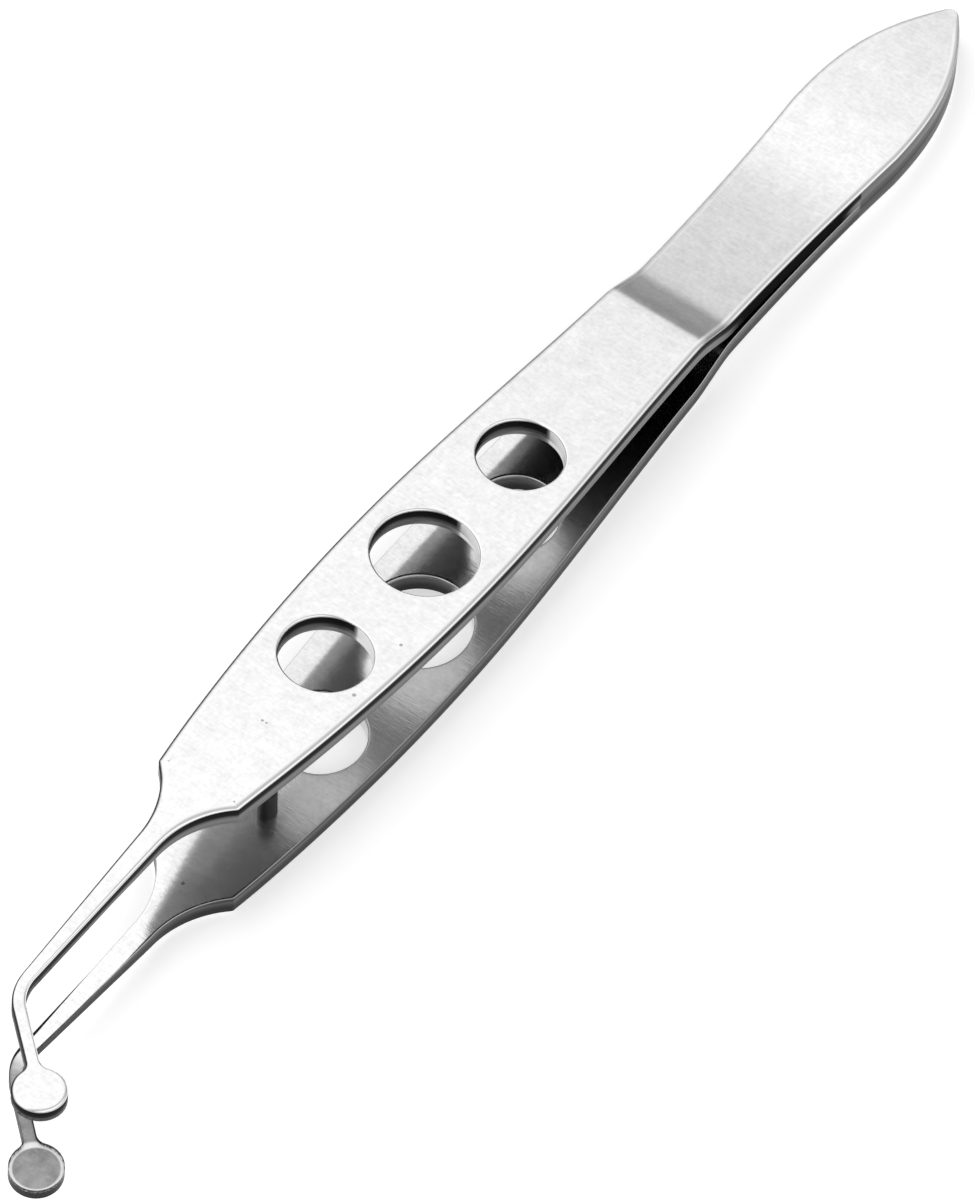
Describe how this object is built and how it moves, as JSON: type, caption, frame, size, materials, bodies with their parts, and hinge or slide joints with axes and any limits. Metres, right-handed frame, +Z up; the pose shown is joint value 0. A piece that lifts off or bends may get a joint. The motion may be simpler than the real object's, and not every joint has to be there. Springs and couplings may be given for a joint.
{
  "type": "meibomian gland forceps",
  "caption": "Slim spring forceps with a leaf-shaped welded butt, round grip holes, a slender neck and side-turned round discs that press an eyelid between them.",
  "frame": {"origin": "on the outer face of the lower arm's grip, on the long axis, midway between the middle and the front hole", "axes": "+X along the lower grip towards the tips, +Z up from the grip face that it lies on, +Y to the side that the tips turn to"},
  "size_m": [0.1044, 0.0119, 0.0114],
  "materials": {
    "satin_steel": "satin",
    "post_steel": "satin"
  },
  "bodies": {
    "butt": {"butt": "satin_steel"},
    "upper_arm": {"upper_arm": "satin_steel"},
    "lower_arm": {"lower_arm": "satin_steel", "stop_post": "post_steel"}
  },
  "joints": [
    {"name": "upper_flex", "type": "hinge", "parent": "butt", "child": "upper_arm", "pos_m": [-0.0393, 0, 0.00331], "axis": [0, 1, 0], "range_deg": [0, 2.64], "stiffness_Nm_per_rad": 1.2},
    {"name": "lower_flex", "type": "hinge", "parent": "butt", "child": "lower_arm", "pos_m": [-0.03921, 0, 0.00151], "axis": [0, -1, 0], "range_deg": [0, 2.64], "stiffness_Nm_per_rad": 1.2}
  ]
}
